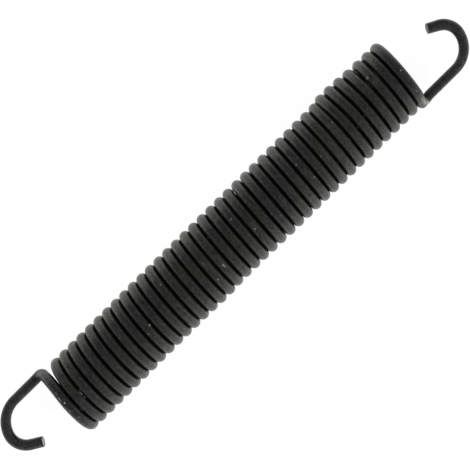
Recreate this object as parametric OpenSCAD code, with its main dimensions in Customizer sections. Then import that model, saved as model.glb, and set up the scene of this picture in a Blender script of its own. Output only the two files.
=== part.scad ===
// Extension spring in one length of round wire: a close-wound coil with an open hook drawn out at
// each end. It lies on its side with its axis along X and the coil resting on Z = 0. Lengths in mm.

/* [Wire and coil] */
// Diameter of the wire
wire_d = 3.0; // [2.6:0.2:3.0]
// Outside diameter of the coil
coil_od = 20.0; // [19:1:24]
// Spacing of the turns along the axis, just over the wire's diameter
pitch = 3.148; // [3.148:0.1:3.948]
// Number of strands that cross the upper side
strands = 39; // [6:1:45]
// How far each upper strand leans along the axis from one side of the coil to the other
lean = 1.28; // [0.8:0.12:1.28]

/* [Left hook] */
// Angle that the last strand follows the coil before it peels away
left_wrap = 105; // [95:5:115]
// Turn of the wire about itself that tilts the peeling stretch out of the coil
left_peel_roll = 16; // [0:4:24]
// Radius of the peeling stretch
left_peel_r = 9.2; // [8.2:0.5:10.2]
// Angle turned while peeling away
left_peel = 43; // [35:2:49]
// Straight stretch up to the shoulder
left_lift = 2.1; // [1.1:0.5:4.1]
// Turn of the wire about itself before the shoulder, which sends the leg along the axis
left_shoulder_roll = 74.5; // [70.5:1:78.5]
// Radius of the shoulder, on the wire's centre
left_shoulder_r = 2.1; // [1.9:0.1:2.5]
// Angle of the shoulder
left_shoulder = 81.5; // [79.5:0.5:83.5]
// Straight leg beside the hook's opening
left_leg = 8.1; // [5.1:1:20.1]
// Turn of the wire about itself before the bow, which aims the bow at the axis
left_bow_roll = -62.6; // [-66.6:1:-58.6]
// Radius of the wide bow at the hook's end
left_bow_r = 8.1; // [7.1:0.5:9.1]
// Angle of the wide bow
left_bow = 71; // [65:1:77]
// Radius of the tighter crook that follows the bow
left_crook_r = 5.0; // [4.5:0.5:6]
// Angle of the crook
left_crook = 78; // [66:2:84]
// Straight tip up to the cut end
left_tip = 3.1; // [1.1:0.5:5.1]

/* [Right hook] */
// Angle that the last strand follows the coil before it peels away
right_wrap = 143; // [138:1:148]
// Radius of the peeling stretch
right_peel_r = 8.4; // [8.2:0.1:9]
// Angle turned while peeling away
right_peel = 15; // [11:1:19]
// Straight stretch up to the shoulder
right_lift = 1.4; // [0.9:0.5:2.9]
// Turn of the wire about itself before the shoulder, which sends the leg along the axis
right_shoulder_roll = 86; // [82:1:90]
// Radius of the shoulder, on the wire's centre
right_shoulder_r = 2.3; // [1.9:0.1:2.5]
// Angle of the shoulder
right_shoulder = 91.6; // [89.6:0.5:93.6]
// Straight leg beside the hook's opening
right_leg = 9.9; // [5.9:1:19.9]
// Turn of the wire about itself before the bow, which aims the bow at the axis
right_bow_roll = -66.2; // [-70.2:1:-62.2]
// Radius of the wide bow at the hook's end
right_bow_r = 7.4; // [6.9:0.5:8.9]
// Angle of the wide bow
right_bow = 80; // [74:2:84]
// Radius of the tighter crook that follows the bow
right_crook_r = 4.8; // [4.3:0.5:5.8]
// Angle of the crook
right_crook = 72; // [66:2:78]
// Straight tip up to the cut end
right_tip = 3.1; // [1.1:0.5:5.1]

/* [Hidden] */
$fn = 48;

steel_black = [0.16, 0.16, 0.15];
coil_r = (coil_od - wire_d) / 2;

// Each turn is two flat half rings that meet heading straight up or down. The upper one leans by
// lean, and the lower one makes up the pitch as well, so it is larger and leans more.
upper_r = norm([coil_r, lean / 2]);
upper_lean = atan(lean / 2 / coil_r);
lower_rise = pitch + lean;
lower_r = norm([coil_r, lower_rise / 2]);
lower_lean = atan(lower_rise / 2 / coil_r);
axis_z = lower_r + wire_d / 2;
end_x = (strands - 1) / 2 * pitch;

// A shift or a turn goes in two steps, so that neighbouring pieces meet exactly. A shift goes to whole
// thousandths first and then by the tiny rest. A turn goes to the closest angle nearby whose cosine
// and sine are whole millionths that lie on the unit circle, and then by the tiny rest.
module shift(v) {
  most = [for (c = v) round(c * 1000) / 1000];
  translate(most) translate(v - most) children();
}

function whole(x) = round(x * 1e6) / 1e6;

function off_circle(a) = abs(pow(whole(cos(a)), 2) + pow(whole(sin(a)), 2) - 1);

module turn(a, axis) {
  tries = [for (i = [-150 : 150]) a + i * 6e-5];
  misses = [for (t = tries) off_circle(t)];
  close = tries[search(min(misses), misses)[0]];
  most = atan2(whole(sin(close)), whole(cos(close)));
  rotate(most, axis) rotate(a - most, axis) children();
}

// The wire is drawn as it is bent. Each piece starts at the origin heading up Z, and its children
// start where it ends. A bend goes towards +X, and a roll turns that side about the wire.
module run(length) {
  cylinder(h = length, d = wire_d);
  shift([0, 0, length]) children();
}

module bend(radius, a) {
  shift([radius, 0, 0]) rotate([90, 0, 0])
    rotate_extrude(angle = -a, start = 180) shift([radius, 0]) circle(d = wire_d);
  shift([radius * (1 - cos(a)), 0, radius * sin(a)]) turn(a, [0, 1, 0]) children();
}

module roll(a) {
  turn(a, [0, 0, 1]) children();
}

// The near side (-Y) of the strand at x, where the wire heads straight up or down.
module at_near_side(x) {
  shift([x - lean / 2, -coil_r, 0]) children();
}

// The coil: from the near side under to the next strand's far side, then back over the top. The
// first and last upper strands belong to the hooks.
module coil() {
  for (k = [0 : strands - 2])
    at_near_side(k * pitch - end_x) rotate([180, 0, 0]) roll(lower_lean - 90) bend(lower_r, 180)
      if (k < strands - 2) roll(lower_lean - upper_lean) bend(upper_r, 180);
}

// Bow, crook and tip, in the plane of the leg and the coil's axis.
module hook_end(bow_r, bow, crook_r, crook, tip) {
  bend(bow_r, bow) bend(crook_r, crook) run(tip);
}

module left_hook() {
  at_near_side(-end_x) roll(90 - upper_lean) bend(upper_r, left_wrap)
    roll(left_peel_roll) bend(left_peel_r, left_peel) run(left_lift)
    roll(left_shoulder_roll) bend(left_shoulder_r, left_shoulder) run(left_leg)
    roll(left_bow_roll) hook_end(left_bow_r, left_bow, left_crook_r, left_crook, left_tip);
}

// The right hook is placed as a left one and then turned half round about Z.
module right_hook() {
  at_near_side(-end_x) roll(90 - upper_lean) bend(upper_r, right_wrap)
    bend(right_peel_r, right_peel) run(right_lift)
    roll(right_shoulder_roll) bend(right_shoulder_r, right_shoulder) run(right_leg)
    roll(right_bow_roll) hook_end(right_bow_r, right_bow, right_crook_r, right_crook, right_tip);
}

// The whole wire, one solid.
module spring_wire() {
  color(steel_black) shift([0, 0, axis_z]) {
    coil();
    left_hook();
    rotate([0, 0, 180]) right_hook();
  }
}

spring_wire();
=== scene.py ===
import bpy
import math
import numpy as np
from mathutils import Matrix, Vector


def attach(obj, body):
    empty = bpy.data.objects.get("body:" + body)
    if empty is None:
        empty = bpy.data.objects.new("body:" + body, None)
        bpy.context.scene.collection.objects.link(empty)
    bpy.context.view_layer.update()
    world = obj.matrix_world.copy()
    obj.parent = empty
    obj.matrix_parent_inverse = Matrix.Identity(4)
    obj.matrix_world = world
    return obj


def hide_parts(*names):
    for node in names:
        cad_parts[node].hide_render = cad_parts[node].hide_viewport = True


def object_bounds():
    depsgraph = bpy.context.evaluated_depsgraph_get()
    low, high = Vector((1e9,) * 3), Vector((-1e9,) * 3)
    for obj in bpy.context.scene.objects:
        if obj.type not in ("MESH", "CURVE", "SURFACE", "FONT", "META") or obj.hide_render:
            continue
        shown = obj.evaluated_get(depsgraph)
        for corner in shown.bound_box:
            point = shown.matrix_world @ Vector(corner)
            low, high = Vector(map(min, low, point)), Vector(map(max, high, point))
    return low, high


# An extension spring of round black steel wire: a close-wound coil with an open hook at each end. The
# whole wire is one tube, laid bend by bend as in the CAD source. It is built in mm and placed in metres.
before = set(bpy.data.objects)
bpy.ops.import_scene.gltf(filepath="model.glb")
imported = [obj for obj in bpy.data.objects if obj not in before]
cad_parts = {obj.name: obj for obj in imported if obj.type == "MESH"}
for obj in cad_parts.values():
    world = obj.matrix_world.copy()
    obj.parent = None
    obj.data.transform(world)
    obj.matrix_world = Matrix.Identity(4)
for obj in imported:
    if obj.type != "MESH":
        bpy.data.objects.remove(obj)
CAD_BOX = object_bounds()
MM = 0.001

# The wire's path, as in the CAD source
WIRE_R = 1.5
COIL_R = 8.5
PITCH = 3.148
STRANDS = 39
LEAN = 1.28
RISE = PITCH + LEAN
UPPER_R = math.hypot(COIL_R, LEAN / 2)
LOWER_R = math.hypot(COIL_R, RISE / 2)
AXIS_Z = LOWER_R + WIRE_R
END_X = (STRANDS - 1) / 2 * PITCH

# The bends of each hook, with radii and lengths in mm and turns in degrees. The right shoulder is
# sharper than the solid's, with longer straights on both sides of it, and the left tip is a little
# longer, as in the photograph.
LEFT = {"wrap": 105, "peel_roll": 16, "peel_r": 9.2, "peel": 43, "lift": 2.1,
        "shoulder_roll": 74.5, "shoulder_r": 2.1, "shoulder": 81.5, "leg": 8.1,
        "bow_roll": -62.6, "bow_r": 8.1, "bow": 71, "crook_r": 5.0, "crook": 78, "tip": 3.45}
RIGHT = {"wrap": 143, "peel_roll": 0, "peel_r": 8.4, "peel": 15, "lift": 2.47,
         "shoulder_roll": 86, "shoulder_r": 1.25, "shoulder": 91.6, "leg": 10.97,
         "bow_roll": -66.2, "bow_r": 7.4, "bow": 80, "crook_r": 4.8, "crook": 72, "tip": 3.1}

# The shown wire's own radius at the start and end of each stretch. It is a hair thicker on the coil, so
# that the turns touch, less so underneath, where they lean most, and drawn thin along the legs.
FULL_R = 1.562
UNDER_R = 1.52
LEFT_WIRE = {"peel": (1.53, 1.47), "lift": (1.46, 1.42),
             "shoulder_in": (1.42, 1.40), "shoulder_out": (1.40, 1.38),
             "leg": (1.36, 1.34), "bow": (1.34, 1.45), "crook": (1.47, 1.50), "tip": (1.48, 1.45)}
RIGHT_WIRE = {"peel": (1.50, 1.45), "lift": (1.44, 1.40),
              "shoulder_in": (1.40, 1.58), "shoulder_out": (1.56, 1.34),
              "leg": (1.34, 1.33), "bow": (1.31, 1.40), "crook": (1.45, 1.52), "tip": (1.49, 1.41)}

# How the real coil differs from a true one. The fits scale y and z of the coil and of the hooks.
COIL_FIT = np.array([1.018, 0.9912])
HOOK_FIT = np.array([0.9965, 0.9965])
HOOK_FROM, HOOK_FULL = 60.9, 62.3        # distance from the middle at which coil turns into hook
COIL_SHIFT = 0.07                        # towards the far side
END_STRANDS = (58.2, 59.4, 63.0, 66.0)   # where the pressed-in end strands start, are full, and fade
END_PRESS = 0.07

# Where the coil's far and near sides bulge: place along the axis, then the shift there. The bulges fade
# out between two distances from the middle.
BULGE_FADE = (60.0, 61.5)
FAR_X = (-57, -40, -20, 0, 25, 36, 39.5, 41.5, 45, 48, 51.5, 55, 60)
FAR_OUT = (0.06, 0.10, 0.15, 0.12, 0.06, 0.12, 0.22, 0.66, 0.68, 0.48, 0.22, 0.10, 0.02)
FAR_ALONG = (0, 0, 0, 0, 0, -0.08, -0.10, -0.50, -0.50, -0.42, -0.38, 0, 0)
NEAR_X = (-57, -45, -33, -19, -13, -9, -6, 3, 7, 12, 25, 45, 57)
NEAR_OUT = (0.18, 0.10, 0.0, 0.0, 0.17, 0.13, -0.09, -0.10, 0.0, 0.10, 0.12, 0.16, 0.18)

# Strands that stand off the even pitch, counted from the left, and the small spread of the others
UNEVEN = {22: -0.05, 24: 0.03, 25: 0.045, 26: 0.05, 27: 0.045, 28: 0.04, 29: 0.03}
SPREAD = 0.010
SEED = 7

# The tube's mesh. The sheared ends have an oblique face with a slightly rolled edge.
AROUND = 30
SLANT = 0.14                             # of the cut faces, as a slope
END_RINGS = ((0.25, 0.03), (0.6, 0.02), (0.88, 0.0), (0.955, 0.02), (0.99, 0.08))    # scale, depth
END_MIDDLE = 0.03
EDGE_DEPTHS = (0.2, 0.15)                # of the first two whole rings behind a cut face
CUT_BANDS = 3                            # bands of faces, from the middle out, that show cut steel
NEAR_LIMIT = CAD_BOX[0][1] / MM + 0.0065    # the shown wire stays inside the solid's near side

# The photograph's view: nearly straight down, from 0.4 m, with a long lens. Pixels are the photograph's.
PHOTO_WIDTH = 470
MM_PER_PIXEL = 0.26
CAMERA_PIXELS = 1536.0                   # distance to the spring's axis
VIEW_SLANT = 44.538                      # degrees from the picture's horizontal to the spring's axis
VIEW_TIP = 2.13                          # degrees that the camera leans over the right end
AIM_PIXELS = 1.905                       # along the spring's axis, from its middle
VIEW_SHIFT = (0.304, 1.1)                # pixels right and up

# Lamps and floor, in metres and watts. The tent's light goes from TENT_TOP overhead to 1 at the horizon.
LAMP_SIZE = 0.5
LAMP_POWER = 9.0
FLOOR_HALF = 3.0
FLOOR_Z = -0.00005
FLOOR_GREY = 0.86
FLOOR_WHITE = 0.92                       # share of plain white in what the camera sees of the floor
TENT_TOP = 0.32
TENT_POWER = 2.5
TENT_SIDE = -0.17                        # change from -Y to +Y, for each unit of the direction's y


def unit(v):
    v = np.asarray(v, float)
    return v / np.linalg.norm(v)


def fade(value, start, full):
    """0 up to start, 1 from full on, and even in between."""
    return np.clip((value - start) / (full - start), 0, 1)


class Wire:
    """The wire laid bend by bend: where it is, where it heads, and the side that it bends towards."""

    def __init__(self, place, head, side):
        self.place = np.array(place, float)
        self.head = unit(head)
        self.side = unit(side)
        self.points, self.heads, self.radii = [], [], []

    def mark(self, wire_r):
        self.points.append(self.place)
        self.heads.append(self.head)
        self.radii.append(wire_r)

    def bend(self, radius, degrees, wire_r, fine=5.0):
        start, head, side = self.place, self.head, self.side
        steps = max(2, round(degrees / fine))
        for i in range(steps + 1):
            a = math.radians(degrees) * i / steps
            self.place = start + radius * (side + math.sin(a) * head - math.cos(a) * side)
            self.head = math.cos(a) * head + math.sin(a) * side
            self.side = math.cos(a) * side - math.sin(a) * head
            if i < steps:
                self.mark(wire_r[0] + (wire_r[1] - wire_r[0]) * i / steps)
        return self

    def run(self, length, wire_r, fine=0.45):
        start = self.place
        steps = max(1, round(length / fine))
        for i in range(steps):
            self.place = start + self.head * length * i / steps
            self.mark(wire_r[0] + (wire_r[1] - wire_r[0]) * i / steps)
        self.place = start + self.head * length
        return self

    def roll(self, degrees):
        a = math.radians(degrees)
        self.side = self.side * math.cos(a) + np.cross(self.head, self.side) * math.sin(a)
        return self


def near_start(head_z, half_lean):
    """A wire that starts at the near side of the first strand and bends towards the far side."""
    return Wire([-END_X - LEAN / 2, -COIL_R, 0], [0, 0, head_z], [half_lean, COIL_R, 0])


def hook(bends, wire_r):
    """A hook from the coil's near side to its tip, as the left one lies."""
    w = near_start(1, LEAN / 2)
    w.bend(UPPER_R, bends["wrap"], (FULL_R, wire_r["peel"][0]))
    w.roll(bends["peel_roll"]).bend(bends["peel_r"], bends["peel"], wire_r["peel"], 4)
    w.run(bends["lift"], wire_r["lift"]).roll(bends["shoulder_roll"])
    for half in ("shoulder_in", "shoulder_out"):
        w.bend(bends["shoulder_r"], bends["shoulder"] / 2, wire_r[half], 4.5)
    w.run(bends["leg"], wire_r["leg"]).roll(bends["bow_roll"])
    w.bend(bends["bow_r"], bends["bow"], wire_r["bow"], 3)
    w.bend(bends["crook_r"], bends["crook"], wire_r["crook"], 3.5)
    w.run(bends["tip"], wire_r["tip"], 0.3)
    w.mark(wire_r["tip"][1])
    return w


def coil():
    """From the near side under to the next strand's far side, then back over the top."""
    w = near_start(-1, RISE / 2)
    for k in range(STRANDS - 1):
        w.side = unit([RISE / 2, COIL_R, 0])
        w.bend(LOWER_R, 90, (FULL_R, UNDER_R)).bend(LOWER_R, 90, (UNDER_R, FULL_R))
        if k < STRANDS - 2:
            w.side = -unit([LEAN / 2, COIL_R, 0])
            w.bend(UPPER_R, 180, (FULL_R, FULL_R))
    return w


def bulge(points):
    """The slight bulges of the coil's far and near sides, fading out towards its crest."""
    x, y = points[:, 0].copy(), points[:, 1].copy()
    in_coil = 1 - fade(np.abs(x), *BULGE_FADE)
    far, near = (fade(side, 0, COIL_R) for side in (y, -y))
    far, near = (w * w * (3 - 2 * w) * in_coil for w in (far, near))
    points[:, 0] += far * np.interp(x, FAR_X, FAR_ALONG)
    points[:, 1] += far * np.interp(x, FAR_X, FAR_OUT) - near * np.interp(x, NEAR_X, NEAR_OUT)


def shift_strands(points):
    """The strands' own small shifts along the axis."""
    rng = np.random.default_rng(SEED)
    strand = np.clip((points[:, 0] + END_X) / PITCH + 1, 0, STRANDS + 1)
    numbers = np.arange(STRANDS + 2)
    shifts = np.array([UNEVEN.get(n, 0.0) for n in numbers]) + rng.normal(0, SPREAD, STRANDS + 2)
    points[:, 0] += np.interp(strand, numbers, shifts)


def whole_wire():
    """Points, headings and radii from the left tip through the coil to the right tip."""
    left, middle, right = hook(LEFT, LEFT_WIRE), coil(), hook(RIGHT, RIGHT_WIRE)
    half_turn = np.diag([-1.0, -1.0, 1.0])
    points = np.array(left.points[::-1] + middle.points[1:] + [half_turn @ p for p in right.points])
    heads = [-h for h in left.heads[::-1]] + middle.heads[1:] + [half_turn @ h for h in right.heads]
    radii = np.array(left.radii[::-1] + middle.radii[1:] + right.radii)

    start, full, fading, gone = END_STRANDS
    from_middle = np.abs(points[:, 0])
    end = fade(from_middle, start, full) * (1 - fade(from_middle, fading, gone))
    points[:, 0] -= np.sign(points[:, 0]) * END_PRESS * end
    in_hook = fade(np.abs(points[:, 0]), HOOK_FROM, HOOK_FULL)[:, None]
    points[:, 1:] *= COIL_FIT * (1 - in_hook) + HOOK_FIT * in_hook
    points[:, 1] += COIL_SHIFT * (1 - in_hook[:, 0])
    bulge(points)
    shift_strands(points)
    radii[2:-2] = np.convolve(radii, np.ones(5) / 5, "valid")
    return points, np.array([unit(h) for h in heads]), radii


def side_vectors(points, heads):
    """Side vectors that turn as little as possible along the path (double reflection)."""
    sides = [unit(np.cross(heads[0], [0, 0, 1]))]
    for i in range(len(points) - 1):
        step = points[i + 1] - points[i]
        side = sides[-1] - 2 / (step @ step) * (step @ sides[-1]) * step
        head = heads[i] - 2 / (step @ step) * (step @ heads[i]) * step
        rest = heads[i + 1] - head
        size = rest @ rest
        if size > 1e-18:
            side = side - 2 / size * (rest @ side) * rest
        sides.append(unit(side))
    return np.array(sides)


def tube_points():
    """The tube's corners, ring by ring, and where each lies in the wire: across, across and along."""
    points, heads, radii = whole_wire()
    sides = side_vectors(points, heads)
    ups = np.cross(heads, sides)
    along = np.concatenate([[0], np.cumsum(np.linalg.norm(np.diff(points, axis=0), axis=1))])
    angles = np.arange(AROUND) / AROUND * 2 * math.pi
    circle = np.stack([np.cos(angles), np.sin(angles)], 1)
    last = len(points) - 1
    corners, coords = [], []

    def add_ring(i, scale=1.0, depth=0.0, slant=0.0):
        inward = 1 if i < last / 2 else -1
        reach = (circle[:, :1] * sides[i] + circle[:, 1:] * ups[i]) * radii[i] * scale
        slope = reach[:, 2:] * slant * inward
        corners.extend(points[i] + reach + heads[i] * (depth * inward + slope))
        coords.extend(np.column_stack([reach @ sides[i], reach @ ups[i],
                                       np.full(AROUND, along[i] + depth * inward)]))

    for scale, depth in END_RINGS:
        add_ring(0, scale, depth, SLANT)
    for i in range(last + 1):
        from_end = min(i, last - i)
        if from_end < 2:
            add_ring(i, 1.0, EDGE_DEPTHS[from_end], SLANT / (1 + from_end))
        else:
            add_ring(i)
    for scale, depth in reversed(END_RINGS):
        add_ring(last, scale, depth, SLANT)
    corners.extend([points[0] + heads[0] * END_MIDDLE, points[last] - heads[last] * END_MIDDLE])
    coords.extend([[0, 0, 0], [0, 0, along[last]]])
    return np.array(corners), np.array(coords, np.float32)


def tube_faces(rings):
    """The tube's faces, and whether each is part of a cut end."""
    faces, cut = [], []
    pairs = [(k, (k + 1) % AROUND) for k in range(AROUND)]
    for j in range(rings - 1):
        a, b = j * AROUND, (j + 1) * AROUND
        faces.extend((a + k, a + m, b + m, b + k) for k, m in pairs)
        cut.extend([j < CUT_BANDS or j >= rings - 1 - CUT_BANDS] * AROUND)
    first_middle, last_middle = rings * AROUND, rings * AROUND + 1
    last_ring = (rings - 1) * AROUND
    for k, m in pairs:
        faces.append((first_middle, m, k))
        faces.append((last_middle, last_ring + k, last_ring + m))
    cut.extend([True] * 2 * AROUND)
    return faces, cut


def build_wire():
    corners, coords = tube_points()
    faces, cut = tube_faces(len(corners) // AROUND)
    corners[:, 1] = np.maximum(corners[:, 1], NEAR_LIMIT)
    corners[:, 2] += AXIS_Z
    mesh = bpy.data.meshes.new("spring_wire_black")
    mesh.from_pydata((corners * MM).tolist(), [], faces)
    mesh.polygons.foreach_set("use_smooth", [True] * len(faces))
    mesh.polygons.foreach_set("material_index", [int(c) for c in cut])
    mesh.attributes.new("wire", "FLOAT_VECTOR", "POINT").data.foreach_set("vector", coords.ravel())
    mesh.update()
    wire = bpy.data.objects.new("spring_wire_black", mesh)
    bpy.context.scene.collection.objects.link(wire)
    return wire


class Nodes:
    """Short calls for building a node tree."""

    def __init__(self, tree):
        self.tree = tree
        self.tree.nodes.clear()

    def add(self, kind, **settings):
        node = self.tree.nodes.new(kind)
        for key, value in settings.items():
            setattr(node, key, value)
        return node

    def link(self, a, b):
        self.tree.links.new(a, b)

    def put(self, socket, value):
        """Links an output to a socket, or sets the socket to a plain value."""
        if hasattr(value, "is_output"):
            self.link(value, socket)
        else:
            socket.default_value = value

    def math(self, operation, a, b=None, clamp=False):
        node = self.add("ShaderNodeMath", operation=operation, use_clamp=clamp)
        self.put(node.inputs[0], a)
        if b is not None:
            self.put(node.inputs[1], b)
        return node.outputs[0]

    def times(self, a, *factors):
        for factor in factors:
            a = self.math("MULTIPLY", a, factor)
        return a

    def plus(self, a, b):
        return self.math("ADD", a, b)

    def rest_of(self, a, clamp=False):
        """1 - a."""
        return self.math("SUBTRACT", 1.0, a, clamp)

    def noise(self, vector, scale, detail=3.0, rough=0.5):
        node = self.add("ShaderNodeTexNoise")
        self.link(vector, node.inputs["Vector"])
        node.inputs["Scale"].default_value = scale
        node.inputs["Detail"].default_value = detail
        node.inputs["Roughness"].default_value = rough
        return node.outputs["Fac"]

    def coordinate(self, name):
        return self.add("ShaderNodeTexCoord").outputs[name]

    def scaled(self, vector, xyz):
        node = self.add("ShaderNodeVectorMath", operation="MULTIPLY")
        self.link(vector, node.inputs[0])
        node.inputs[1].default_value = xyz
        return node.outputs[0]

    def split(self, vector):
        node = self.add("ShaderNodeSeparateXYZ")
        self.link(vector, node.inputs[0])
        return node.outputs

    def ramp(self, value, low, high, a=0.0, b=1.0):
        """a up to low, b from high on, and smooth in between."""
        node = self.add("ShaderNodeMapRange", interpolation_type="SMOOTHSTEP")
        self.link(value, node.inputs["Value"])
        node.inputs["From Min"].default_value = low
        node.inputs["From Max"].default_value = high
        node.inputs["To Min"].default_value = a
        node.inputs["To Max"].default_value = b
        return node.outputs["Result"]

    def mix(self, share, a, b, blend="MIX"):
        node = self.add("ShaderNodeMix", data_type="RGBA", blend_type=blend)
        self.put(node.inputs["Factor"], share)
        self.put(node.inputs[6], a)
        self.put(node.inputs[7], b)
        return node.outputs[2]

    def bump(self, height, strength, distance):
        node = self.add("ShaderNodeBump")
        node.inputs["Strength"].default_value = strength
        node.inputs["Distance"].default_value = distance
        self.link(height, node.inputs["Height"])
        return node.outputs["Normal"]

    def surface(self, shader, kind="Material"):
        self.link(shader.outputs[0], self.add("ShaderNodeOutput" + kind).inputs[0])


def new_material(name):
    material = bpy.data.materials.new(name)
    material.use_nodes = True
    return material, Nodes(material.node_tree)


# Light marks on the upper side: x and y in mm, their reach along x and y, and their strength
SCRATCHED_LEFT_STRAND = ((-59.9, 3.3, 0.10, 0.60, 0.35), (-60.25, 1.7, 0.12, 0.75, 0.70),
                         (-59.9, 0.1, 0.20, 0.32, 1.00), (-60.5, -2.3, 0.12, 0.45, 0.50),
                         (-60.1, -5.1, 0.12, 0.35, 0.40), (-61.2, 3.2, 0.10, 1.10, 0.35),
                         (-60.9, 2.4, 0.07, 0.50, 0.45), (-60.9, 0.6, 0.08, 1.30, 0.30),
                         (-60.7, -1.2, 0.07, 0.60, 0.35))
NICKS_BY_THE_LEFT_END = ((-58.3, -4.2, 0.15, 0.50, 0.35), (-55.4, -2.4, 0.12, 0.45, 0.40),
                         (-55.3, -1.1, 0.22, 0.70, 0.50), (-54.9, -0.3, 0.15, 0.30, 0.50))
SPECKS = ((-38.2, 2.1, 0.20, 0.20, 0.30), (-30.5, -1.0, 0.22, 0.22, 0.90),
          (-21.3, 4.4, 0.20, 0.30, 0.30), (-9.95, -4.9, 0.20, 0.25, 0.60),
          (-9.7, 0.45, 0.14, 0.50, 0.30), (-6.4, -3.4, 0.22, 0.60, 0.55),
          (5.8, -2.3, 0.22, 0.30, 0.50), (11.4, -2.6, 0.18, 0.22, 0.35),
          (24.6, 1.9, 0.20, 0.25, 0.40), (38.6, 3.2, 0.20, 0.20, 0.45),
          (45.6, -1.4, 0.20, 0.20, 0.35), (52.8, 5.0, 0.35, 0.30, 0.45),
          (57.0, -9.6, 0.30, 0.20, 0.35), (59.5, -6.1, 0.25, 0.22, 0.40),
          (60.1, 0.4, 0.22, 0.22, 0.60))
WORN_SHOULDERS = ((-60.6, 10.3, 1.50, 0.90, 0.22), (59.6, -9.0, 0.80, 1.00, 0.30),
                  (59.8, -10.0, 0.85, 0.75, 0.75), (60.3, -10.4, 0.50, 0.40, 1.20),
                  (60.5, -9.5, 0.30, 0.60, 0.70))
MARKS = SCRATCHED_LEFT_STRAND + NICKS_BY_THE_LEFT_END + SPECKS + WORN_SHOULDERS
MARKS_ABOVE = 8 * MM                     # marks stay off the underside

# Where the black wire changes, in mm from the spring's middle, or from its axis for the painted sheen on
# the coil's sides
COIL_TO = 60.3
HOOK_TONE = (61.5, 64.0)
PLAIN_ENDS = (52.0, 59.5)
SIDE_SHEEN_FROM = (5.5, 9.5)

# How strong its changes are
HOOK_LIGHTER = 0.24
# Share of painted shade in the creases between turns
CREASE_SHADE_SHARE = 0.62
# Share of painted sheen on the coil's sides
SIDE_SHEEN_SHARE = 0.8
BARE_SHARE = 0.8
SPECULAR = 0.47
DRAWN_DEPTH = 0.8                        # of the drawn lines, against 1 for the grain

# Colours of the black wire
NEUTRAL = (0.0042, 0.0042, 0.0040, 1)
OLIVE = (0.0070, 0.0068, 0.0048, 1)
END_BLACK = (0.0043, 0.0042, 0.0046, 1)
# Painted sheen for the coil's sides, then for the end strands' sides
SIDE_SHEEN = (0.0150, 0.0148, 0.0085, 1)
END_SIDE_SHEEN = (0.0135, 0.0132, 0.0110, 1)
BARE_STEEL = (0.20, 0.20, 0.19, 1)


def light_marks(n, place):
    """Inside a mark its strength, and 0 outside all marks."""
    total = 0.0
    for x, y, reach_x, reach_y, strength in MARKS:
        off = n.add("ShaderNodeVectorMath", operation="SUBTRACT")
        n.link(place, off.inputs[0])
        off.inputs[1].default_value = (x * MM, y * MM, 0)
        near = n.add("ShaderNodeVectorMath", operation="LENGTH")
        n.link(n.scaled(off.outputs[0], (1 / reach_x / MM, 1 / reach_y / MM, 0)), near.inputs[0])
        total = n.math("MAXIMUM", total, n.ramp(near.outputs[1], 1.3, 0.4, 0.0, strength))
    return n.times(total, n.math("GREATER_THAN", n.split(place)[2], MARKS_ABOVE))


def dust(n, place):
    """Faint grains: a dot in one cell out of twenty or so, with about 620 cells to the metre."""
    cells = n.add("ShaderNodeTexVoronoi", feature="F1")
    n.link(place, cells.inputs["Vector"])
    cells.inputs["Scale"].default_value = 620
    pick = n.add("ShaderNodeSeparateColor")
    n.link(cells.outputs["Color"], pick.inputs[0])
    dot = n.ramp(cells.outputs["Distance"], 0.22, 0.08)
    return n.times(dot, n.ramp(pick.outputs[0], 0.955, 1.0, 0.0, 0.30))


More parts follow.
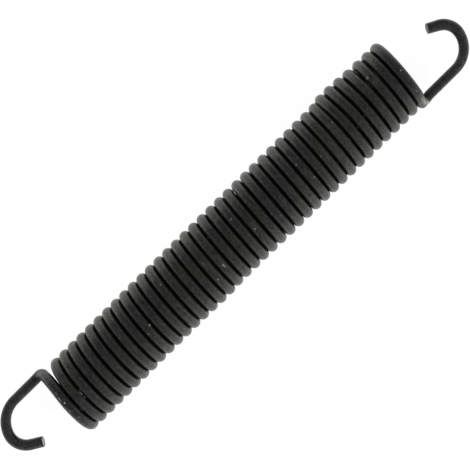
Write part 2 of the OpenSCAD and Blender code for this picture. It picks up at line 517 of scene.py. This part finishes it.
def black_steel():
    """Black wire with mottle, grain and drawn lines, olive and dusty in places, bare where it is worn,
    with painted shade between the turns and painted sheen on the coil's sides.
    """
    material, n = new_material("black_spring_steel")
    wire = n.add("ShaderNodeAttribute", attribute_name="wire").outputs["Vector"]
    place = n.coordinate("Object")
    from_middle = n.math("ABSOLUTE", n.split(place)[0])
    from_axis = n.math("ABSOLUTE", n.split(place)[1])
    in_coil = n.math("LESS_THAN", from_middle, COIL_TO * MM)
    on_hook, at_end = (n.ramp(from_middle, a * MM, b * MM) for a, b in (HOOK_TONE, PLAIN_ENDS))
    beside_axis = n.ramp(from_axis, *(reach * MM for reach in SIDE_SHEEN_FROM))

    cloud = n.noise(place, scale=90, detail=4)
    mottle = n.noise(place, scale=600, detail=4, rough=0.6)
    grain = n.noise(place, scale=2100, detail=3, rough=0.75)
    drawn = n.noise(n.scaled(wire, (4.0, 4.0, 0.30)), scale=1.0, detail=4, rough=0.6)
    tone = n.ramp(mottle, 0.3, 0.7, 0.84, 1.16)
    fine = n.ramp(grain, 0.28, 0.72, 0.48, 1.5)
    lines = n.ramp(drawn, 0.3, 0.7, 0.84, 1.2)

    # Painted shade darkens the flanks where turn meets turn, and the hooks are a little lighter.
    facing_along = n.math("ABSOLUTE", n.split(n.coordinate("Normal"))[0])
    crease_shade = n.times(n.ramp(facing_along, 0.55, 0.92), in_coil, CREASE_SHADE_SHARE)
    shade = n.times(tone, fine, lines, n.plus(1.0, n.times(on_hook, HOOK_LIGHTER)), n.rest_of(crease_shade))

    # A lighter olive-grey painted sheen lies on the coil's sides, greyer on the end strands, and the end
    # strands and hooks are plain black.
    colour = n.mix(n.ramp(cloud, 0.42, 0.66), NEUTRAL, OLIVE)
    colour = n.mix(at_end, colour, END_BLACK)
    on_side = n.times(beside_axis, in_coil, SIDE_SHEEN_SHARE)
    colour = n.mix(on_side, colour, n.mix(at_end, SIDE_SHEEN, END_SIDE_SHEEN))
    grey = n.add("ShaderNodeCombineColor")
    for channel in grey.inputs:
        n.link(shade, channel)
    colour = n.mix(1.0, colour, grey.outputs[0], "MULTIPLY")
    bare = n.math("MAXIMUM", dust(n, place), light_marks(n, place))
    colour = n.mix(n.times(bare, BARE_SHARE), colour, BARE_STEEL)

    shader = n.add("ShaderNodeBsdfPrincipled")
    n.link(colour, shader.inputs["Base Color"])
    n.link(n.ramp(mottle, 0.3, 0.7, 0.28, 0.40), shader.inputs["Roughness"])
    n.link(n.times(shade, SPECULAR), shader.inputs["Specular IOR Level"])
    shader.inputs["Specular Tint"].default_value = (1.0, 0.99, 0.96, 1)
    relief = n.plus(grain, n.times(drawn, DRAWN_DEPTH))
    n.link(n.bump(relief, strength=0.5, distance=0.04 * MM), shader.inputs["Normal"])
    n.surface(shader)
    return material


def cut_steel():
    """The sheared ends: bare steel with drag lines and dark patches, darker at the right end."""
    material, n = new_material("cut_spring_steel")
    place = n.coordinate("Object")
    drag = n.noise(n.scaled(place, (900, 900, 4200)), scale=1.0, detail=3, rough=0.6)
    patch = n.noise(place, scale=900)
    right_end = n.math("GREATER_THAN", n.split(place)[0], 0.0)
    colour = n.mix(n.ramp(drag, 0.35, 0.65), (0.15, 0.155, 0.155, 1), (0.33, 0.335, 0.33, 1))
    colour = n.mix(n.ramp(patch, 0.5, 0.75, 0.0, 0.6), colour, (0.06, 0.06, 0.058, 1))
    colour = n.mix(n.times(right_end, 0.8), colour, (0.045, 0.045, 0.044, 1))
    shader = n.add("ShaderNodeBsdfPrincipled")
    n.link(colour, shader.inputs["Base Color"])
    shader.inputs["Metallic"].default_value = 0.6
    n.link(n.ramp(drag, 0.3, 0.7, 0.4, 0.6), shader.inputs["Roughness"])
    n.link(n.bump(drag, strength=0.5, distance=0.05 * MM), shader.inputs["Normal"])
    n.surface(shader)
    return material


def build_floor():
    """A pale floor that keeps the spring's shadow and is white to camera, glossy and transmission rays."""
    material, n = new_material("white_floor")
    path = n.add("ShaderNodeLightPath").outputs
    direct = n.math("MAXIMUM", path["Is Camera Ray"], path["Is Glossy Ray"])
    direct = n.math("MAXIMUM", direct, path["Is Transmission Ray"])
    diffuse = n.add("ShaderNodeBsdfDiffuse")
    diffuse.inputs["Color"].default_value = (FLOOR_GREY, FLOOR_GREY, FLOOR_GREY, 1)
    white = n.add("ShaderNodeEmission")
    white.inputs["Color"].default_value = (1, 1, 1, 1)
    white.inputs["Strength"].default_value = 1.0
    mix = n.add("ShaderNodeMixShader")
    n.link(n.times(direct, FLOOR_WHITE), mix.inputs[0])
    n.link(diffuse.outputs[0], mix.inputs[1])
    n.link(white.outputs[0], mix.inputs[2])
    n.surface(mix)

    mesh = bpy.data.meshes.new("floor")
    corners = [(x * FLOOR_HALF, y * FLOOR_HALF, FLOOR_Z) for x, y in ((-1, -1), (1, -1), (1, 1), (-1, 1))]
    mesh.from_pydata(corners, [], [(0, 1, 2, 3)])
    mesh.materials.append(material)
    floor = bpy.data.objects.new("floor", mesh)
    bpy.context.scene.collection.objects.link(floor)


def build_world():
    """A white tent, brightest at the horizon and towards -Y, with the dim camera side overhead."""
    world = bpy.data.worlds.new("white_studio")
    world.use_nodes = True
    bpy.context.scene.world = world
    n = Nodes(world.node_tree)
    way = n.split(n.coordinate("Generated"))
    low = n.math("POWER", n.rest_of(way[2], clamp=True), TENT_POWER)
    tent = n.plus(n.times(low, 1 - TENT_TOP), TENT_TOP)
    tent = n.plus(tent, n.times(way[1], TENT_SIDE))
    seen = n.add("ShaderNodeLightPath").outputs["Is Camera Ray"]
    background = n.add("ShaderNodeBackground")
    background.inputs["Color"].default_value = (1, 1, 1, 1)
    n.link(n.math("MAXIMUM", tent, seen), background.inputs["Strength"])
    n.surface(background, "World")


def add_lamp(name, place):
    """A soft square lamp aimed at the spring, left out of its reflections."""
    light = bpy.data.lights.new(name, "AREA")
    light.shape = "SQUARE"
    light.size = LAMP_SIZE
    light.energy = LAMP_POWER
    lamp = bpy.data.objects.new(name, light)
    lamp.location = place
    lamp.rotation_mode = "QUATERNION"
    lamp.rotation_quaternion = (Vector((0, 0, 0.01)) - Vector(place)).to_track_quat("-Z", "Y")
    lamp.visible_glossy = False
    bpy.context.scene.collection.objects.link(lamp)


def build_camera():
    slant, tip = math.radians(VIEW_SLANT), math.radians(VIEW_TIP)
    along = Vector((math.cos(tip), 0, -math.sin(tip)))
    across = Vector((0, 1, 0))
    back = Vector((math.sin(tip), 0, math.cos(tip)))
    right = along * math.cos(slant) - across * math.sin(slant)
    up = along * math.sin(slant) + across * math.cos(slant)
    shift_right, shift_up = VIEW_SHIFT
    place = Vector((AIM_PIXELS * MM_PER_PIXEL, 0, AXIS_Z))
    place += (back * CAMERA_PIXELS + right * shift_right + up * shift_up) * MM_PER_PIXEL
    place *= MM
    data = bpy.data.cameras.new("camera")
    data.sensor_fit = "HORIZONTAL"
    data.sensor_width = 36.0
    data.lens = data.sensor_width * CAMERA_PIXELS / PHOTO_WIDTH
    data.clip_start = 0.01
    data.clip_end = 20
    camera = bpy.data.objects.new("camera", data)
    camera.matrix_world = Matrix((
        (right.x, up.x, back.x, place.x),
        (right.y, up.y, back.y, place.y),
        (right.z, up.z, back.z, place.z),
        (0, 0, 0, 1)))
    bpy.context.scene.collection.objects.link(camera)
    bpy.context.scene.camera = camera


piece = build_wire()
piece.data.materials.append(black_steel())
piece.data.materials.append(cut_steel())
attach(piece, "root")
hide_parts("spring_wire")

build_floor()
build_world()
add_lamp("soft_top_left", (-0.35, 0.45, 0.65))
add_lamp("soft_top_right", (0.40, -0.45, 0.60))
build_camera()
bpy.context.scene.view_settings.view_transform = "Standard"
